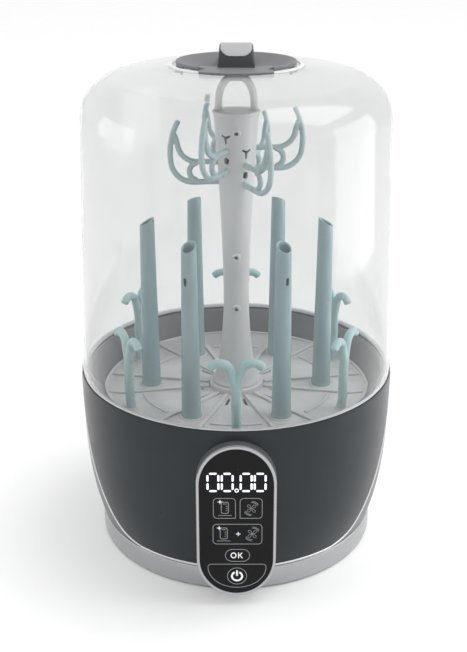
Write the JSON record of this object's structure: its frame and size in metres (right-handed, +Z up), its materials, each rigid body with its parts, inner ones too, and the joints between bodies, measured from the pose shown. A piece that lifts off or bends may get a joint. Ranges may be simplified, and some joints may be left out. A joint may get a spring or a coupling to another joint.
{
  "type": "bottle sterilizer",
  "caption": "Round electric steam sterilizer and dryer for baby bottles, with a clear lift-off dome, post rack, accessory tree and touch panel.",
  "frame": {"origin": "centre of the footprint, on the surface that the foot pad stands on, on the axis of the round base and dome", "axes": "+Z up along the axis of the base and dome, front with the control panel towards -Y, +X to the right seen from the front"},
  "size_m": [0.28, 0.29, 0.4484],
  "materials": {
    "shell_dark": "satin gloss",
    "shell_rear": "fine satin",
    "silver": "satin silver paint on plastic",
    "black_plastic": "fine grain",
    "rubber": "matte",
    "steel": "brushed",
    "bowl_grey": "satin gloss",
    "silicone": "matte silicone",
    "element": "oxidised",
    "ceramic": "ceramic",
    "white_plastic": "satin",
    "filter_paper": "pleated filter fleece",
    "panel_black": "polished black glass",
    "display_white": "lit white",
    "key_print": "printed outline",
    "circuit_board": "solder mask",
    "rack_grey": "satin gloss",
    "column_grey": "satin gloss",
    "post_teal": "satin gloss",
    "hook_mint": "satin gloss",
    "branch_teal": "satin gloss",
    "dome_clear": "polished clear",
    "cap_grey": "satin gloss",
    "strap_dark": "satin",
    "inlay_grey": "soft satin"
  },
  "bodies": {
    "base": {"front_shell": "shell_dark", "rear_shell": "shell_rear", "trim_band": "silver", "foot_ring": "silver", "bottom_cover": "black_plastic", "foot_pad": "rubber", "bottom_screws": "steel", "inner_bowl": "bowl_grey", "rim_seal": "silicone", "heating_plate": "steel", "heating_element": "element", "plate_gasket": "silicone", "thermostat": "ceramic", "fan_housing": "black_plastic", "fan_motor": "steel", "air_duct": "black_plastic", "air_heater": "element", "air_outlet": "bowl_grey", "panel_housing": "silver", "panel_glass": "panel_black", "display_digits": "display_white", "touch_keys": "key_print", "display_board": "circuit_board", "main_board": "circuit_board", "cord_gland": "rubber"},
    "fan": {"fan_impeller": "white_plastic"},
    "filter": {"filter_cover": "shell_rear", "air_filter": "filter_paper"},
    "rack": {"rack_tray": "rack_grey", "bottle_post_1": "post_teal", "bottle_post_2": "post_teal", "bottle_post_3": "post_teal", "bottle_post_4": "post_teal", "bottle_post_5": "post_teal", "bottle_post_6": "post_teal", "hook_1": "hook_mint", "hook_2": "hook_mint", "hook_3": "hook_mint", "hook_4": "hook_mint", "hook_5": "hook_mint", "hook_6": "hook_mint"},
    "tree": {"column": "column_grey", "column_cap": "column_grey"},
    "dome": {"dome_shell": "dome_clear", "cap_dish": "cap_grey", "carry_strap": "strap_dark", "strap_inlay": "inlay_grey", "cap_clips": "cap_grey"},
    "branch_1": {"branch_1": "branch_teal"},
    "branch_2": {"branch_2": "branch_teal"},
    "branch_3": {"branch_3": "branch_teal"},
    "branch_4": {"branch_4": "branch_teal"},
    "branch_5": {"branch_5": "branch_teal"},
    "branch_6": {"branch_6": "branch_teal"}
  },
  "joints": [
    {"name": "dome_lift", "type": "slide", "parent": "base", "child": "dome", "axis": [0, 0, 1], "range_m": [0, 0.45]},
    {"name": "rack_lift", "type": "slide", "parent": "base", "child": "rack", "axis": [0, 0, 1], "range_m": [0, 0.06]},
    {"name": "tree_lift", "type": "slide", "parent": "rack", "child": "tree", "axis": [0, 0, 1], "range_m": [0, 0.06]},
    {"name": "fan_spin", "type": "hinge", "parent": "base", "child": "fan", "pos_m": [0, 0.04, 0.03], "axis": [0, 0, 1], "continuous": true},
    {"name": "filter_pull", "type": "slide", "parent": "base", "child": "filter", "axis": [0, 1, 0], "range_m": [0, 0.045]},
    {"name": "branch_1_pull", "type": "slide", "parent": "tree", "child": "branch_1", "axis": [-0.5, -0.866, 0], "range_m": [0, 0.018]},
    {"name": "branch_2_pull", "type": "slide", "parent": "tree", "child": "branch_2", "axis": [0.5, -0.866, 0], "range_m": [0, 0.018]},
    {"name": "branch_3_pull", "type": "slide", "parent": "tree", "child": "branch_3", "axis": [1, 0, 0], "range_m": [0, 0.018]},
    {"name": "branch_4_pull", "type": "slide", "parent": "tree", "child": "branch_4", "axis": [0.5, 0.866, 0], "range_m": [0, 0.018]},
    {"name": "branch_5_pull", "type": "slide", "parent": "tree", "child": "branch_5", "axis": [-0.5, 0.866, 0], "range_m": [0, 0.018]},
    {"name": "branch_6_pull", "type": "slide", "parent": "tree", "child": "branch_6", "axis": [-1, 0, 0], "range_m": [0, 0.018]}
  ],
  "couplings": [
    {"joint": "rack_lift", "follows": "dome_lift", "ratio": 0.12},
    {"joint": "tree_lift", "follows": "dome_lift", "ratio": 0.12}
  ]
}
